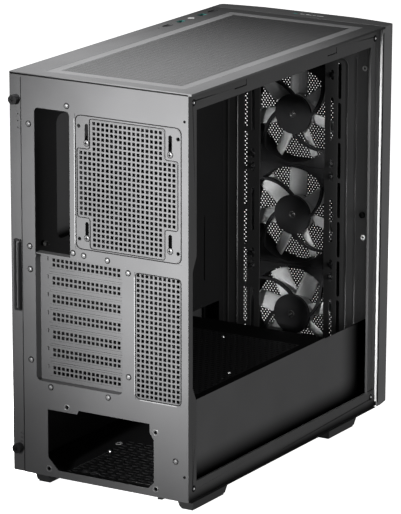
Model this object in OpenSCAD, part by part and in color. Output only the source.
// Mid-tower desktop computer case: steel chassis, perforated rear wall with
// expansion slots, power supply shroud, four 120 mm fans, meshed front panel,
// lift-off top dust filter and a sliding right side panel.
// The frame stands on its feet: +Z is up, +Y points out of the rear wall, and
// the open window side faces -X. The origin is under the middle of the case.

/* [Tower] */
// Overall width
body_w = 230; // [226:1:236]
// Overall height on its feet
body_h = 471; // [468:1:480]
// Length from the front bow to the rear wall
body_l = 456; // [452:1:460]
// Height of the feet under the floor
foot_h = 20.5; // [17:0.5:24]
// Thickness of the steel sheet
sheet = 1; // [0.8:0.1:1.2]
// How far the thumbscrew knobs stand out of the rear wall
knob_proud = 8; // [7:0.5:10]

/* [Perforation] */
// Spacing of the square holes in the rear wall
perf_pitch = 5.57; // [5.4:0.01:5.6]
// Side of each square hole
perf_hole = 3.7; // [3:0.1:4.2]

/* [Fans] */
// Side of a fan frame
fan_size = 119.6; // [118:0.1:119.8]
// Depth of a fan frame
fan_depth = 25; // [24:0.5:25]
// Screw hole spacing of a fan
fan_bolts = 105; // [104.5:0.1:105.5]
// Blades on each fan
fan_blades = 7; // [5:1:9]
// Height of the middle front fan's axis
mid_fan_z = 239.6; // [238:0.1:241]

/* [Slots] */
// Number of expansion slots
slot_count = 7; // [5:1:7]
// Spacing of the expansion slots
slot_pitch = 20.32; // [20.3:0.01:20.34]

/* [Joint gap] */
// Gap between loose pieces
gap = 0.3; // [0.2:0.05:0.4]
// Radial clearance of a turning shaft
run_gap = 0.05; // [0.02:0.01:0.08]

/* [Hidden] */

$fn = 48;
cut = 1;                                  // overshoot of every cutting shape

// Colours
steel_grey = [0.30, 0.30, 0.31];
trim_grey = [0.40, 0.40, 0.41];
inner_black = [0.09, 0.09, 0.10];
plastic_black = [0.05, 0.05, 0.055];
blade_grey = [0.78, 0.79, 0.80];
strip_white = [0.86, 0.87, 0.88];
brass_tone = [0.80, 0.62, 0.28];
zinc_tone = [0.75, 0.76, 0.78];
port_teal = [0.05, 0.42, 0.38];

// Main planes
front_y = -(body_l + knob_proud) / 2;     // front bow
rear_y = front_y + body_l;                // outer face of the rear wall
side_x = body_w / 2;                      // outer face of the side panels
chassis_x = side_x - 3.8;                 // outer face of the chassis sides
floor_z = foot_h;                         // underside of the floor
cover_t = 2.6;                            // top cover thickness
cover_z = body_h - cover_t;               // underside of the top cover
roof_z = cover_z - 0.2;                   // top of the chassis steel
panel_y = front_y + 32;                   // joint of the front panel and the chassis

// Rear wall areas, as [x low, z low, x high, z high]
fan_area = [-103, 284.6, 31.2, 433.5];
vent_area = [-102.7, 127.6, -44, 269];
io_area = [38.2, 268, 83.5, 434.5];
slot_area = [-28, 128.5, 83.5, 272];
rear_fan_x = -36.2;                       // axis of the rear fan
rear_fan_z = 350.4;
grid_z = 358.6;                           // middle of the rear fan grid
bolts_140 = 124.5;                        // screw spacing of a 140 mm fan
groove_w = 1.3;                           // stamped outline width
groove_d = 0.6;                           // and depth
slot_plane = rear_y - 9;                  // outer face of the slot covers
first_slot_z = 262.2;                     // middle of the top slot cover
flange_x = 101;                           // edge of the side panel's rear flange
knob_x = 106.4;                           // thumbscrew axes
knob_z = [441.4, 48];

// Window side
post_rear_y = rear_y - 17;                // rear post's front edge
post_front_y = [-192, -174];              // front post
rail_top_z = 451;
rail_bottom_z = 41;

// Interior
tray_x = 88;                              // motherboard tray's face
plate_y = front_y + 52;                   // front plate's rear face
fan_x = -5;                               // axis of the front fans
fan_z = [mid_fan_z + 120, mid_fan_z, mid_fan_z - 120];
window_half = 43.2;                       // half width of the front plate's window
shroud_x = -108;                          // shroud's outer face
shroud_z = 131;                           // shroud's top face
shroud_front_y = -79;                     // front edge of the shroud's top
shroud_vent_area = [-98, -38, 56, 184];   // x low, y low, x high, y high
floor_vent_area = [-58, 68, 62, 204];

// Motherboard standoffs
board_rows = [436, 278.52, 154.06];
board_columns = [203, 48.06, -24.33];
standoff_h = 6.5;
board_hole_r = 1.6;

// Top
filter_area = [-96, -182, 80, 205];       // x low, y low, x high, y high
filter_rim = 13.5;
filter_t = 1.6;
io_x = 100;                               // centre line of the front ports
usb_y = [-105, -151.7];
audio_y = -127.5;
power_y = -176;
reset_y = -76.5;
button_w = 7;
button_l = 17;
led_y = -56.6;

// Fan inside sizes, measured along the fan's own axis from the strut face
fan_bore_r = 57;
fan_seat_r = 23.5;
fan_strut_t = 4;
hub_r = 21;
blade_r = 55.6;
shaft_r = 1.5;
blade_sweep = 12;
blade_w = 2.6;

// ---------- shared shapes ----------

// Sheet standing across the case: children are drawn as (x, z), outer face at y
module across(y, t = sheet) {
    translate([0, y, 0]) rotate([90, 0, 0]) linear_extrude(t) children();
}

// Sheet standing along the case: children are drawn as (y, z), +X face at x
module along(x, t = sheet) {
    translate([x - t, 0, 0]) rotate([90, 0, 90]) linear_extrude(t) children();
}

// Sheet lying flat: children are drawn as (x, y), top face at z
module flat(z, t = sheet) {
    translate([0, 0, z - t]) linear_extrude(t) children();
}

// Rectangle from [x low, y low, x high, y high], grown by g
module area(a, g = 0) {
    translate([a[0] - g, a[1] - g]) square([a[2] - a[0] + 2 * g, a[3] - a[1] + 2 * g]);
}

// The same rectangle with round corners
module round_area(a, r, g = 0) {
    w = a[2] - a[0] + 2 * g;
    h = a[3] - a[1] + 2 * g;
    translate([(a[0] + a[2]) / 2, (a[1] + a[3]) / 2]) {
        square([w - 2 * r, h], center = true);
        square([w, h - 2 * r], center = true);
        for (sx = [-1, 1], sy = [-1, 1])
            translate([sx * (w / 2 - r), sy * (h / 2 - r)]) circle(r);
    }
}

// Rectangular ring between two areas
module ring_area(a, rim) {
    difference() {
        area(a);
        area(a, -rim);
    }
}

// Grid of square holes about a middle point
module hole_grid(cols, rows, mid, pitch = perf_pitch, size = perf_hole) {
    for (i = [0:cols - 1], j = [0:rows - 1])
        translate([mid[0] + (i - (cols - 1) / 2) * pitch, mid[1] + (j - (rows - 1) / 2) * pitch])
            square(size, center = true);
}

// Slot with round ends standing on end between two heights
module tall_slot(x, z0, z1, w) {
    translate([x - w / 2, z0]) square([w, z1 - z0]);
    for (z = [z0, z1]) translate([x, z]) circle(w / 2);
}

// Four points at the corners of a square
module at_corners(mid, spacing) {
    for (sx = [-1, 1], sz = [-1, 1])
        translate([mid[0] + sx * spacing / 2, mid[1] + sz * spacing / 2]) children();
}

// ---------- rear wall ----------

module psu_opening() {
    polygon([
        [69.5, 97.5], [31, 97.5], [29, 102], [-62.2, 102], [-62.2, 92], [-67.5, 84.5],
        [-67.5, 36], [-60.2, 28.8], [56.5, 28.8], [69.5, 42]
    ]);
}

function psu_bolts() = [[44.2, 103.3], [-69.8, 93.3], [68.2, 29.3], [-69.8, 29.3]];

module rear_outline_2d() {
    difference() {
        translate([-chassis_x, floor_z]) square([chassis_x + flange_x - gap, cover_z - floor_z]);
        area(fan_area);
        area(vent_area);
        round_area(io_area, 5);
        round_area(slot_area, 6);
        psu_opening();
        for (p = psu_bolts()) translate(p) circle(2);
        for (z = [440.6, 48.7]) translate([-106.4, z]) circle(1.6);
    }
}

module rear_panel() {
    tab_y = rear_y - sheet - gap;
    color(steel_grey) {
        across(rear_y) rear_outline_2d();
        // Set-back tab that the side panel's flange closes on
        across(tab_y) difference() {
            translate([flange_x - 4, floor_z + 3]) square([10.2, roof_z - floor_z - 8]);
            for (z = knob_z) translate([knob_x, z]) circle(1.8);
        }
        translate([flange_x - 4, tab_y - sheet, floor_z + 3])
            cube([3.7, rear_y - tab_y + sheet, roof_z - floor_z - 8]);
    }
}

// Outline of the plus-shaped grid, grown by g
module plus_2d(g) {
    mid_x = (fan_area[0] + fan_area[2]) / 2 + 1;
    round_area([mid_x - 47.4, grid_z - 71.5, mid_x + 47.4, grid_z + 71.5], 3, g);
    round_area([mid_x - 63.5, grid_z - 38, mid_x + 63.5, grid_z + 38], 3, g);
}

module rear_fan_grille() {
    grid_x = (fan_area[0] + fan_area[2]) / 2 + 1;
    fan_slot_w = 4.5;
    color(steel_grey) difference() {
        across(rear_y) difference() {
            area(fan_area);
            hole_grid(16, 25, [grid_x, grid_z]);
            for (s = [-1, 1]) hole_grid(3, 13, [grid_x + s * 9.5 * perf_pitch, grid_z]);
            for (s = [-1, 1]) {
                tall_slot(rear_fan_x + s * fan_bolts / 2, rear_fan_z + fan_bolts / 2, 421.8, fan_slot_w);
                tall_slot(rear_fan_x + s * fan_bolts / 2, rear_fan_z - fan_bolts / 2, 313.8, fan_slot_w);
            }
            at_corners([rear_fan_x, grid_z], bolts_140) circle(2.15);
        }
        across(rear_y + cut, groove_d + cut) {
            difference() {
                area(fan_area, cut);
                round_area(fan_area, 8, -groove_w);
            }
            difference() {
                plus_2d(0);
                plus_2d(-groove_w);
            }
        }
    }
}

module rear_vent_grille() {
    mid = [(vent_area[0] + vent_area[2]) / 2, (vent_area[1] + vent_area[3]) / 2 + 0.6];
    color(steel_grey) difference() {
        across(rear_y) difference() {
            area(vent_area);
            hole_grid(10, 25, mid);
        }
        across(rear_y + cut, groove_d + cut) difference() {
            area(vent_area, cut);
            round_area(vent_area, 5, -groove_w);
        }
    }
}

// Box-shaped recess behind the wall that carries the slot covers
module slot_frame() {
    depth = rear_y - sheet - slot_plane + sheet;
    color(steel_grey) {
        across(rear_y - sheet, depth) difference() {
            area(slot_area, sheet);
            area(slot_area);
        }
        across(slot_plane - sheet) difference() {
            area(slot_area, sheet);
            for (i = [0:slot_count - 1])
                translate([-21.5, first_slot_z - i * slot_pitch - 5.4]) square([90, 10.8]);
        }
        // Locating bumps at the end of each slot
        for (i = [0:slot_count - 1])
            translate([73.2, slot_plane - sheet, first_slot_z - i * slot_pitch + 1.5]) cube([1.6, 1.6, 4]);
        // Flange inside the case that the cover screws go into
        along(-22.3, sheet) translate([slot_plane - 2 * sheet - 14, shroud_z + sheet])
            square([14, slot_area[3] - shroud_z - sheet]);
    }
}

module slot_cover(i) {
    z = first_slot_z - (i - 1) * slot_pitch;
    half = 9.5;
    x0 = -25;
    x1 = 71.5;
    color(steel_grey) {
        across(slot_plane) difference() {
            translate([x0, z - half]) square([x1 - x0, 2 * half]);
            hole_grid(16, 2, [23.7, z]);
        }
        // Stiffening folds along both edges
        for (s = [-1, 1])
            translate([x0, slot_plane, z + s * (half - 2.4) - 0.5]) cube([x1 - x0, 0.7, 1]);
    }
}
module slot_cover_1() { slot_cover(1); }
module slot_cover_2() { slot_cover(2); }
module slot_cover_3() { slot_cover(3); }
module slot_cover_4() { slot_cover(4); }
module slot_cover_5() { slot_cover(5); }
module slot_cover_6() { slot_cover(6); }
module slot_cover_7() { slot_cover(7); }

// Pan-head screws that hold the covers, inside the case
module slot_screws() {
    color(zinc_tone)
        for (i = [0:slot_count - 1])
            translate([-23.3, slot_plane - 2 * sheet - 7, first_slot_z - i * slot_pitch])
                rotate([0, -90, 0]) cylinder(h = 2.4, r = 3.4);
}

module rivets() {
    dome_r = 3.3;
    sink = 1.7;
    spots = [
        [41.5, 440.7], [90.7, 415.4], [90.6, 279.3], [90.2, 253.5], [90.2, 151], [64.9, 123.2],
        [-9.5, 123.2], [-35.7, 150.5], [-35.7, 266.4], [-9.4, 276.8], [20.8, 278], [34.6, 279.1],
        [-95.2, 64.9]
    ];
    color(steel_grey)
        for (p = spots) translate([p[0], rear_y, p[1]]) intersection() {
            translate([0, -sink, 0]) sphere(dome_r);
            translate([-dome_r, 0, -dome_r]) cube(2 * dome_r);
        }
}

// ---------- floor, roof and side frames ----------

module bottom_panel() {
    color(inner_black) flat(floor_z + sheet) difference() {
        area([-chassis_x + sheet, panel_y + 2, chassis_x - sheet, rear_y - sheet]);
        area(floor_vent_area);
        for (x = [-84, 84], y = [-20, -120]) translate([x, y]) circle(2.2);
    }
}

module bottom_vent() {
    a = floor_vent_area;
    color(inner_black) flat(floor_z + sheet) difference() {
        area(a);
        for (i = [0:9], j = [0:15])
            translate([a[0] + 6 + i * 12 - (j % 2) * 2, a[1] + 8 + j * 8]) square([8, 4], center = true);
    }
}

// L-shaped rails under the floor that carry the bottom filter
module filter_rails() {
    color(inner_black)
        for (s = [-1, 1]) translate([2, 58, 0]) {
            translate([s > 0 ? 71.5 : -73.5, 0, floor_z - 6]) cube([2, 156, 6]);
            translate([s > 0 ? 68 : -73.5, 0, floor_z - 6]) cube([5.5, 156, 1.5]);
        }
}

module top_panel() {
    mid_x = (filter_area[0] + filter_area[2]) / 2;
    color(inner_black) flat(roof_z) difference() {
        area([-chassis_x + sheet, panel_y + 2, chassis_x - sheet, rear_y - sheet]);
        for (y = [130, 10, -110]) translate([mid_x, y])
            round_area([-43, -54, 43, 54], 8);
        for (s = [-1, 1], half = [fan_bolts / 2, bolts_140 / 2], y = [-150:60:170])
            translate([mid_x + s * half, y]) round_area([-2.2, -22, 2.2, 22], 2.1);
        area([io_x - 10, power_y - 20, io_x + 10, reset_y + 24]);
    }
}

module top_cover() {
    color(steel_grey) difference() {
        flat(body_h, cover_t) area([-side_x, panel_y + gap, side_x, rear_y]);
        // Seat of the dust filter, and the vent under it
        flat(body_h + cut, filter_t + cut) area(filter_area, gap);
        flat(body_h + cut, cover_t + 2 * cut) area(filter_area, -filter_rim + 1);
        // Front ports and buttons
        flat(body_h + cut, cover_t + 2 * cut) {
            for (y = usb_y) translate([io_x, y]) square([7, 14.5], center = true);
            translate([io_x, audio_y]) circle(4.2);
            for (y = [power_y, reset_y]) translate([io_x, y])
                tall_slot(0, -(button_l - button_w) / 2, (button_l - button_w) / 2, button_w + 2 * gap);
            translate([io_x, led_y]) circle(1.2);
        }
    }
}

// Flat frame of one chassis side, drawn as (y, z)
module side_frame_2d(post_rear, sill_z) {
    y1 = rear_y - sheet;
    difference() {
        translate([panel_y + 2, floor_z]) square([y1 - panel_y - 2, roof_z - floor_z]);
        translate([post_front_y[1], sill_z]) square([post_rear - post_front_y[1], rail_top_z - sill_z]);
    }
}

// The four window sockets, drawn as (y, z)
module at_sockets() {
    for (y = [213, -183], z = [459.8, 34]) translate([y, z]) children();
}

module window_frame() {
    hook_w = 1.2;
    fold = 2;
    color(steel_grey) {
        along(-chassis_x + sheet) difference() {
            side_frame_2d(post_rear_y, rail_bottom_z);
            // Hand relief in the rear post
            polygon([
                [post_rear_y - cut, 292], [post_rear_y, 292], [post_rear_y + 8, 276],
                [post_rear_y + 8, 147], [post_rear_y, 131], [post_rear_y - cut, 131]
            ]);
            // Hook cuts in the top rail
            for (y = [104, -94]) translate([y, 458.4]) {
                square([hook_w, 7]);
                square([y > 0 ? 25 : 21, hook_w]);
            }
            at_sockets() circle(2.6);
        }
        // Lip along the lower edge, as wide as the cover, that the glass stands on
        translate([-side_x, panel_y + skirt_low + 2, floor_z])
            cube([side_x - chassis_x + 0.5, rear_y - sheet - panel_y - skirt_low - 2, sheet]);
        // Folded edges of the rails and the front post
        translate([-chassis_x + sheet, post_front_y[1], rail_top_z]) cube([7, post_rear_y - post_front_y[1], sheet]);
        translate([-chassis_x + sheet, post_front_y[1], rail_bottom_z - sheet])
            cube([fold, post_rear_y - post_front_y[1], sheet]);
        translate([-chassis_x + sheet, post_front_y[1] - sheet, rail_bottom_z - sheet])
            cube([fold, sheet, rail_top_z - rail_bottom_z + 2 * sheet]);
    }
}

module right_frame() {
    color(inner_black) along(chassis_x) side_frame_2d(post_rear_y - 10, floor_z + 3);
}

// Front wall of the chassis that the front panel clips to
module front_frame() {
    color(inner_black) across(panel_y + 2) difference() {
        area([-chassis_x + sheet, floor_z + sheet, chassis_x - sheet, roof_z - sheet]);
        round_area([-96, 44, 92, 436], 8);
        for (x = [-103, 101], z = [60, 240, 420]) translate([x, z]) circle(3.2);
    }
}

module front_plate() {
    rung = 47;
    z0 = 54;
    color(inner_black) {
        across(plate_y) difference() {
            area([-chassis_x + 4, floor_z + sheet, tray_x, rail_top_z - 2]);
            round_area([fan_x - window_half, 58, fan_x + window_half, 428], 8);
            for (s = [-1, 1]) {
                // Slots for 120 mm fans, with a short one where two fans meet
                for (z = fan_z) tall_slot(fan_x + s * fan_bolts / 2, z - 24, z + 24, 4.2);
                for (z = fan_z) for (e = [-1, 1])
                    tall_slot(fan_x + s * fan_bolts / 2, z + e * 52.5 - 4, z + e * 52.5 + 4, 4.2);
                // Ladder of slots for 140 mm fans
                for (i = [0:7])
                    tall_slot(fan_x + s * bolts_140 / 2, z0 + i * rung + 4, z0 + (i + 1) * rung - 5, 4.6);
            }
            for (z = [424.5, 225.4, 76.2]) translate([-100.4, z]) circle(1.6);
        }
        // Stamped ridge round the fan field and two stiffening beads
        across(plate_y + groove_d, groove_d) {
            difference() {
                round_area([fan_x - 73.5, 40, fan_x + 73.5, 433], 8);
                round_area([fan_x - 72, 41.5, fan_x + 72, 431.5], 7);
            }
            for (x = [-90, 80]) translate([x, 36]) square([1.6, 400]);
        }
    }
}

// Tray with the cooler cut-out, cable slots and a low opening for the bays
module motherboard_tray() {
    color(inner_black) along(tray_x + sheet) difference() {
        area([plate_y, floor_z + sheet, rear_y - 3, roof_z - sheet]);
        round_area([58, 275.5, 173.5, 415.5], 10);
        for (z = [150, 240, 330]) round_area([-104, z, -78, z + 70], 10);
        round_area([-139.2, 157, -136.8, 236], 1.1);
        for (y = [160, 60]) round_area([y, 448, y + 50, 462], 4);
        area([-172, floor_z, 214, shroud_z - 6]);
        for (y = board_columns, z = board_rows) translate([y, z]) circle(board_hole_r);
    }
}

module standoffs() {
    color(brass_tone)
        for (y = board_columns, z = board_rows)
            translate([tray_x, y, z]) rotate([0, -90, 0]) difference() {
                cylinder(h = standoff_h, r = 3.2, $fn = 6);
                translate([0, 0, -cut]) cylinder(h = standoff_h + 2 * cut, r = board_hole_r);
            }
}

module psu_shroud() {
    x1 = tray_x;
    y1 = rear_y - sheet;
    color(inner_black) {
        flat(shroud_z) difference() {
            area([shroud_x, shroud_front_y, x1, y1]);
            area(shroud_vent_area);
            round_area([60, -60, 82, 20], 6);
            // Notch that clears the slot frame
            area([slot_area[0] - 3, slot_plane - 2 * sheet - gap, x1 + cut, y1 + cut]);
        }
        // Side wall, which runs on past the top to the front plate
        along(shroud_x + sheet) area([plate_y, floor_z + sheet, y1, shroud_z - sheet]);
        translate([shroud_x + sheet, shroud_front_y, shroud_z - 12])
            cube([x1 - shroud_x - sheet, sheet, 12 - sheet]);
    }
}

module shroud_vent() {
    a = shroud_vent_area;
    pitch_x = 8;
    pitch_y = 8;
    cols = floor((a[2] - a[0] - 6) / pitch_x);
    rows = floor((a[3] - a[1] - 6) / pitch_y);
    color(inner_black) flat(shroud_z) difference() {
        area(a);
        for (i = [0:cols - 1], j = [0:rows - 1])
            translate([a[0] + 5 + i * pitch_x + (j % 2) * pitch_x / 2, a[1] + 6 + j * pitch_y])
                square([5.2, 3.4], center = true);
    }
}

// ---------- drive bay ----------

cage = [-50, -168, 40, -70];              // x low, y low, x high, y high
cage_bay_h = 32;                          // clear height of each bay
cage_z = floor_z + sheet;
tray_gap = 0.4;

module drive_cage() {
    h = 2 * cage_bay_h + 3 * sheet;
    color(inner_black) {
        for (y = [cage[1], cage[3] - sheet])
            translate([cage[0], y, cage_z]) cube([cage[2] - cage[0], sheet, h]);
        for (i = [0:2])
            translate([cage[0], cage[1] + sheet, cage_z + i * (cage_bay_h + sheet)])
                cube([cage[2] - cage[0], cage[3] - cage[1] - 2 * sheet, sheet]);
    }
}

// Plastic drive tray: floor, two rails and a bent front with a finger gap
module drive_tray(i) {
    z = cage_z + sheet + (i - 1) * (cage_bay_h + sheet) + tray_gap;
    x0 = cage[0] + 2;
    x1 = cage[2] + 6;
    y0 = cage[1] + sheet + tray_gap;
    y1 = cage[3] - sheet - tray_gap;
    h = cage_bay_h - 2 * tray_gap;
    color(plastic_black) {
        translate([x0, y0, z]) cube([x1 - x0, y1 - y0, 2]);
        for (y = [y0, y1 - 2.5])
            translate([x0, y, z + 2]) cube([x1 - x0 - 3, 2.5, 8]);
        translate([x1 - 3, y0, z + 2]) difference() {
            cube([3, y1 - y0, h - 2]);
            translate([-cut, (y1 - y0) / 2 - 18, 8]) cube([3 + 2 * cut, 36, 12]);
        }
    }
}
module drive_tray_1() { drive_tray(1); }
module drive_tray_2() { drive_tray(2); }

// ---------- feet ----------

module foot(x, y, len) {
    top_w = 25;
    side_in = 4;
    end_in = 5;
    pad_t = 2;
    translate([x, y, 0]) {
        color(plastic_black) intersection() {
            rotate([90, 0, 0]) linear_extrude(len, center = true) polygon([
                [-top_w / 2, floor_z], [top_w / 2, floor_z],
                [top_w / 2 - side_in, pad_t], [-top_w / 2 + side_in, pad_t]
            ]);
            rotate([90, 0, 90]) linear_extrude(top_w, center = true) polygon([
                [-len / 2, floor_z], [len / 2, floor_z],
                [len / 2 - end_in, pad_t], [-len / 2 + end_in, pad_t]
            ]);
        }
        color(plastic_black) translate([-top_w / 2 + side_in + 1, -len / 2 + end_in + 1, 0])
            cube([top_w - 2 * side_in - 2, len - 2 * end_in - 2, pad_t]);
    }
}
module feet() {
    for (x = [-89, 96.5]) {
        foot(x, 158, 78);
        foot(x, -139, 70);
    }
}

// ---------- right side panel ----------

module side_panel() {
    z0 = floor_z + gap;
    z1 = roof_z;
    y0 = panel_y + skirt_low + gap + 1;
    fold = side_x - chassis_x - sheet - 0.5;
    color(steel_grey) {
        translate([side_x - sheet, y0, z0]) cube([sheet, rear_y - y0, z1 - z0]);
        // Folded top, bottom and front edges
        for (z = [z0, z1 - sheet])
            translate([side_x - sheet - fold, y0, z]) cube([fold, rear_y - sheet - y0, sheet]);
        translate([side_x - sheet - fold, y0, z0 + sheet]) cube([fold, sheet, z1 - z0 - 2 * sheet]);
        // Rear flange
        across(rear_y) difference() {
            translate([flange_x, z0]) square([side_x - sheet - flange_x, z1 - z0]);
            for (z = knob_z) translate([knob_x, z]) circle(1.8);
            for (z = [425, 417.5, 410, 65, 60, 55]) translate([103.5, z]) square([3.4, 1.4], center = true);
        }
    }
}

module panel_handle() {
    a = [flange_x + 0.2, 205, 110.5, 285.5];
    color(plastic_black) {
        across(rear_y + 2.2, 2.2) difference() {
            round_area(a, 1.5);
            round_area(a, 1, -2.2);
        }
        translate([a[0], rear_y + 2.2, a[1] + 3]) cube([1.8, 4, a[3] - a[1] - 6]);
    }
}

module thumbscrew(z) {
    head_r = 5.3;
    head_l = knob_proud - 0.4;
    grips = 14;
    color(plastic_black) translate([knob_x, rear_y + 0.4, z]) rotate([-90, 0, 0]) {
        difference() {
            cylinder(h = head_l, r = head_r);
            for (i = [0:grips - 1]) rotate(i * 360 / grips)
                translate([head_r + 0.2, 0, 1.2]) cylinder(h = head_l - 2.4, r = 0.7, $fn = 16);
            for (a = [0, 90]) rotate(a) translate([-2.6, -0.6, head_l - 2]) cube([5.2, 1.2, 2 + cut]);
        }
        translate([0, 0, -8]) cylinder(h = 8.2, r = 1.8 - run_gap);
    }
}
module thumbscrew_top() { thumbscrew(knob_z[0]); }
module thumbscrew_bottom() { thumbscrew(knob_z[1]); }

// ---------- dust filters ----------

module top_filter_frame() {
    color(trim_grey) difference() {
        flat(body_h, filter_t - 0.1) area(filter_area);
        flat(body_h + cut, filter_t + 2 * cut) round_area(filter_area, 3, -filter_rim);
        flat(body_h + cut, 0.5 + cut) area(filter_area, -filter_rim + 2);
    }
}

module top_filter_mesh() {
    a = filter_area;
    rim = filter_rim - 2;
    pitch = 14;
    cols = floor((a[2] - a[0] - 2 * rim - 8) / pitch);
    rows = floor((a[3] - a[1] - 2 * rim - 8) / pitch);
    color(steel_grey) flat(body_h - 0.1, 0.4) difference() {
        area(a, -rim - 0.1);
        for (i = [0:cols - 1], j = [0:rows - 1])
            translate([(a[0] + a[2]) / 2 + (i - (cols - 1) / 2) * pitch,
                       (a[1] + a[3]) / 2 + (j - (rows - 1) / 2) * pitch])
                square(pitch - 3, center = true);
    }
}

floor_filter = [-68, 60, 72, 214];        // x low, y low, x high, y high

module bottom_filter_frame() {
    color(plastic_black) {
        flat(floor_z - gap, 2.4) ring_area(floor_filter, 9);
        // Finger ridge under the rear bar
        translate([-20, floor_filter[3] - 9, floor_z - 4]) cube([44, 2.5, 4 - gap]);
    }
}

module bottom_filter_mesh() {
    a = floor_filter;
    pitch = 10;
    color(inner_black) flat(floor_z - 1, 0.5) difference() {
        area(a, -9);
        for (i = [0:10], j = [0:12])
            translate([a[0] + 20 + i * pitch, a[1] + 17 + j * pitch]) square(pitch - 2, center = true);
    }
}

// ---------- front panel ----------

bow_r = 600;                              // radius of the front panel's bow
nose_r = 6;                               // rounding of its front corners
lean = 0.6;                               // degrees that its face leans back toward the floor
panel_z = 21;                             // its lower rear edge
panel_wall = 3;
skirt_t = 0.8;
skirt_low = 9;                            // reach of the skirts over the chassis at the bottom
skirt_high = 5;                           // and at the top
mesh_area = [-98, 40, 98, 446];           // window of the front panel
nose_x = side_x - nose_r;
nose_y = front_y + bow_r - sqrt(pow(bow_r - nose_r, 2) - pow(nose_x, 2));

// Plan outline of the front panel, shrunk by g and open-ended toward the rear
module bow_2d(g) {
    r = nose_r - g;
    rear = panel_y + 5;
    tangent_x = nose_x * (bow_r - g) / (bow_r - nose_r);
    intersection() {
        translate([-tangent_x, front_y]) square([2 * tangent_x, rear - front_y]);
        translate([0, front_y + bow_r]) circle(bow_r - g, $fn = 256);
    }
    for (s = [-1, 1]) {
        translate([s * nose_x, nose_y]) circle(r);
        translate([s * (nose_x + r / 2), (nose_y + rear) / 2]) square([r, rear - nose_y], center = true);
    }
}

// Leans its children back about the panel's top front edge
module leaning() {
    translate([0, front_y, body_h]) rotate([lean, 0, 0]) translate([0, -front_y, -body_h]) children();
}

module front_panel() {
    cavity_z = panel_z + 8;
    color(steel_grey) {
        difference() {
            intersection() {
                leaning() translate([0, 0, panel_z - 10]) linear_extrude(body_h - panel_z + 20) bow_2d(0);
                // Side profile: round upper nose and a lower edge that rises to the front
                along(side_x, 2 * side_x) difference() {
                    polygon([[front_y - cut, panel_z + 5], [panel_y, panel_z],
                             [panel_y, body_h], [front_y - cut, body_h]]);
                    translate([front_y - cut, body_h - 4]) difference() {
                        square([3.2 + cut, 4 + cut]);
                        translate([3.2 + cut, 0]) circle(4);
                    }
                }
            }
            leaning() translate([0, 0, cavity_z]) linear_extrude(body_h - panel_wall - cavity_z) bow_2d(panel_wall);
            translate([mesh_area[0], front_y - cut, mesh_area[1]])
                cube([mesh_area[2] - mesh_area[0], 26, mesh_area[3] - mesh_area[1]]);
        }
        // Skirts that lap over the chassis sides
        for (x = [side_x, -side_x + skirt_t]) along(x, skirt_t)
            polygon([[panel_y, panel_z], [panel_y + skirt_low, panel_z],
                     [panel_y + skirt_high, roof_z], [panel_y, roof_z]]);
    }
}

// Thin perforated sheet that follows the bow
module front_mesh() {
    pitch = 14;
    a = mesh_area;
    cols = floor((a[2] - a[0] - 6) / pitch);
    rows = floor((a[3] - a[1] - 6) / pitch);
    color(inner_black) intersection() {
        leaning() translate([0, 0, a[1] - 5]) linear_extrude(a[3] - a[1] + 10) difference() {
            bow_2d(0.8);
            bow_2d(1.8);
            translate([-side_x, panel_y - 13]) square([2 * side_x, 30]);
        }
        across(panel_y - 12, 22) difference() {
            area(a);
            for (i = [0:cols - 1], j = [0:rows - 1])
                translate([(i - (cols - 1) / 2) * pitch, (a[1] + a[3]) / 2 + (j - (rows - 1) / 2) * pitch])
                    rotate(45) square(pitch * 0.62, center = true);
        }
    }
}

// Bright bar along the rear edge of the front panel, inside its skirt
module trim_strip() {
    color(strip_white) along(-chassis_x - gap, side_x - skirt_t - chassis_x - gap)
        polygon([[panel_y, 27], [panel_y + skirt_low - 0.6, 27],
                 [panel_y + skirt_high - 0.6, roof_z], [panel_y, roof_z]]);
}

// Push-in sockets that hold the window's four studs
module glass_sockets() {
    color(plastic_black) along(-chassis_x + sheet + 2, 4) at_sockets() difference() {
        circle(2.6);
        circle(1.4);
    }
}

// ---------- front ports and buttons ----------

module io_board() {
    color(plastic_black) {
        translate([io_x - 9, power_y - 14, roof_z - 16]) cube([18, reset_y - power_y + 30, 2]);
        for (y = [power_y - 14, reset_y + 14])
            translate([io_x - 9, y, roof_z - 14]) cube([18, 2, 14 - sheet]);
    }
}

module usb_ports() {
    for (y = usb_y) translate([io_x, y, 0]) {
        color(zinc_tone) translate([0, 0, roof_z - 14]) linear_extrude(body_h - roof_z + 13.7) difference() {
            square([6.6, 14], center = true);
            square([5.6, 13], center = true);
        }
        color(port_teal) translate([-2.1, -5.6, roof_z - 14]) cube([1.8, 11.2, body_h - roof_z + 12.5]);
        color(zinc_tone) translate([-3.3, -7, roof_z - 14]) cube([6.6, 14, 1]);
    }
}

module audio_jack() {
    color(strip_white) translate([io_x, audio_y, roof_z - 14]) difference() {
        cylinder(h = body_h - roof_z + 13.9, r = 4);
        translate([0, 0, 3]) cylinder(h = body_h - roof_z + 12, r = 1.8);
    }
}

module button(y) {
    half = (button_l - button_w) / 2;
    color(plastic_black) translate([io_x, y, 0]) {
        translate([0, 0, cover_z - 0.8]) linear_extrude(body_h - cover_z - 0.3) tall_slot(0, -half, half, button_w);
        translate([0, 0, cover_z - 1.8]) linear_extrude(1) tall_slot(0, -half, half, button_w + 2);
    }
}
module power_button() { button(power_y); }
module reset_button() { button(reset_y); }

// ---------- fans ----------

// Fan parts are drawn on their own axis from the strut face at 0, then laid
// with that face towards +Y
module place_fan(x, y, z) {
    translate([x, y, z]) rotate([90, 0, 0]) children();
}

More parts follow.
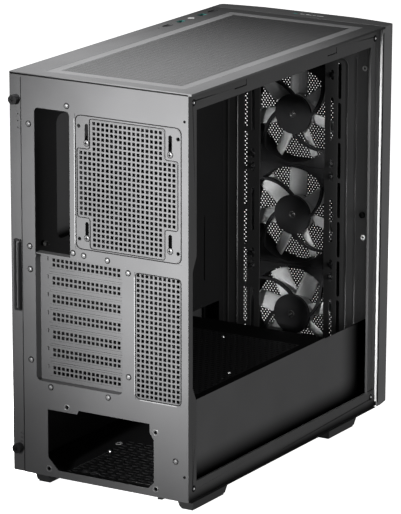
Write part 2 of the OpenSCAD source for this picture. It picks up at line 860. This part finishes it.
module strut_2d() {
    arc_r = 51.6;
    for (a = [0:90:270]) rotate(a) intersection() {
        difference() {
            circle(fan_bore_r - 0.02);
            circle(fan_seat_r - 1);
        }
        translate([-12.6, -38]) difference() {
            circle(arc_r + 1.6);
            circle(arc_r - 1.6);
        }
        translate([0, -80]) square([80, 100]);
    }
}

module fan_frame() {
    flange_t = 4;
    barrel_r = 58.8;
    color(plastic_black) {
        difference() {
            union() {
                for (z = [0, fan_depth - flange_t]) translate([0, 0, z])
                    linear_extrude(flange_t) round_area([-fan_size / 2, -fan_size / 2, fan_size / 2, fan_size / 2], 6);
                cylinder(h = fan_depth, r = barrel_r);
            }
            translate([0, 0, -cut]) cylinder(h = fan_depth + 2 * cut, r = fan_bore_r);
            translate([0, 0, -cut]) linear_extrude(fan_depth + 2 * cut) at_corners([0, 0], fan_bolts) circle(2.15);
        }
    }
}

// Motor seat with its bearing tube, on four struts that reach the frame
module fan_hub() {
    color(plastic_black) {
        linear_extrude(fan_strut_t) strut_2d();
        difference() {
            union() {
                cylinder(h = fan_strut_t, r = fan_seat_r);
                cylinder(h = 15, r = 12);
            }
            translate([0, 0, 1]) cylinder(h = 20, r = shaft_r + run_gap);
        }
    }
}

// One long edge of a blade's section: it sweeps round as it runs out to the tip
function blade_edge(side) = [
    for (k = [0:3])
        let (r = hub_r - 0.5 + k * (blade_r - hub_r + 0.5) / 3)
        let (a = blade_sweep * k / 3 + side * blade_w / 2 / r * 180 / PI)
        [r * cos(a), r * sin(a)]
];

module fan_rotor(first_blade) {
    blade_h = 15;
    blade_z = 6;
    blade_twist = 25;
    color(blade_grey) {
        difference() {
            translate([0, 0, 4.8]) cylinder(h = 18, r = hub_r);
            translate([0, 0, 4.8 - cut]) cylinder(h = 14 + cut, r = hub_r - 2);
        }
        translate([0, 0, 2]) cylinder(h = 19, r = shaft_r);
        for (i = [0:fan_blades - 1])
            rotate(first_blade + i * 360 / fan_blades) translate([0, 0, blade_z])
                linear_extrude(blade_h, twist = -blade_twist, slices = 4, segments = 8)
                    polygon(concat(blade_edge(-1), [for (k = [3:-1:0]) blade_edge(1)[k]]));
    }
}

module front_fan_at(i) {
    place_fan(fan_x, plate_y - sheet, fan_z[i - 1]) children();
}
module rear_fan_at() {
    place_fan(rear_fan_x, rear_y - sheet, rear_fan_z) children();
}
module fan_frame_1() { front_fan_at(1) fan_frame(); }
module fan_frame_2() { front_fan_at(2) fan_frame(); }
module fan_frame_3() { front_fan_at(3) fan_frame(); }
module fan_frame_rear() { rear_fan_at() fan_frame(); }
module fan_hub_1() { front_fan_at(1) fan_hub(); }
module fan_hub_2() { front_fan_at(2) fan_hub(); }
module fan_hub_3() { front_fan_at(3) fan_hub(); }
module fan_hub_rear() { rear_fan_at() fan_hub(); }
module fan_rotor_1() { front_fan_at(1) fan_rotor(23); }
module fan_rotor_2() { front_fan_at(2) fan_rotor(23); }
module fan_rotor_3() { front_fan_at(3) fan_rotor(46); }
module fan_rotor_rear() { rear_fan_at() fan_rotor(23); }

// Self-tapping screws: four heads on the rear wall and four per front fan
module fan_screws() {
    color(zinc_tone) {
        translate([0, rear_y, 0]) rotate([90, 0, 0]) translate([0, 0, -1.6])
            at_corners([rear_fan_x, rear_fan_z], fan_bolts) difference() {
                cylinder(h = 1.6, r = 3.5);
                for (a = [0, 90]) rotate(a) translate([-2, -0.45, -cut]) cube([4, 0.9, 0.9 + cut]);
            }
        for (z = fan_z) translate([0, plate_y, 0]) rotate([90, 0, 0]) translate([0, 0, -1.6])
            at_corners([fan_x, z], fan_bolts) cylinder(h = 1.6, r = 3.3);
    }
}

rear_panel();
rear_fan_grille();
rear_vent_grille();
slot_frame();
slot_cover_1();
slot_cover_2();
slot_cover_3();
slot_cover_4();
slot_cover_5();
slot_cover_6();
slot_cover_7();
slot_screws();
bottom_panel();
bottom_vent();
filter_rails();
top_panel();
top_cover();
window_frame();
right_frame();
front_frame();
front_plate();
motherboard_tray();
standoffs();
psu_shroud();
shroud_vent();
drive_cage();
drive_tray_1();
drive_tray_2();
rivets();
feet();
side_panel();
panel_handle();
thumbscrew_top();
thumbscrew_bottom();
top_filter_frame();
top_filter_mesh();
bottom_filter_frame();
bottom_filter_mesh();
front_panel();
front_mesh();
trim_strip();
glass_sockets();
io_board();
usb_ports();
audio_jack();
power_button();
reset_button();
fan_screws();
fan_frame_1();
fan_frame_2();
fan_frame_3();
fan_frame_rear();
fan_hub_1();
fan_hub_2();
fan_hub_3();
fan_hub_rear();
fan_rotor_1();
fan_rotor_2();
fan_rotor_3();
fan_rotor_rear();
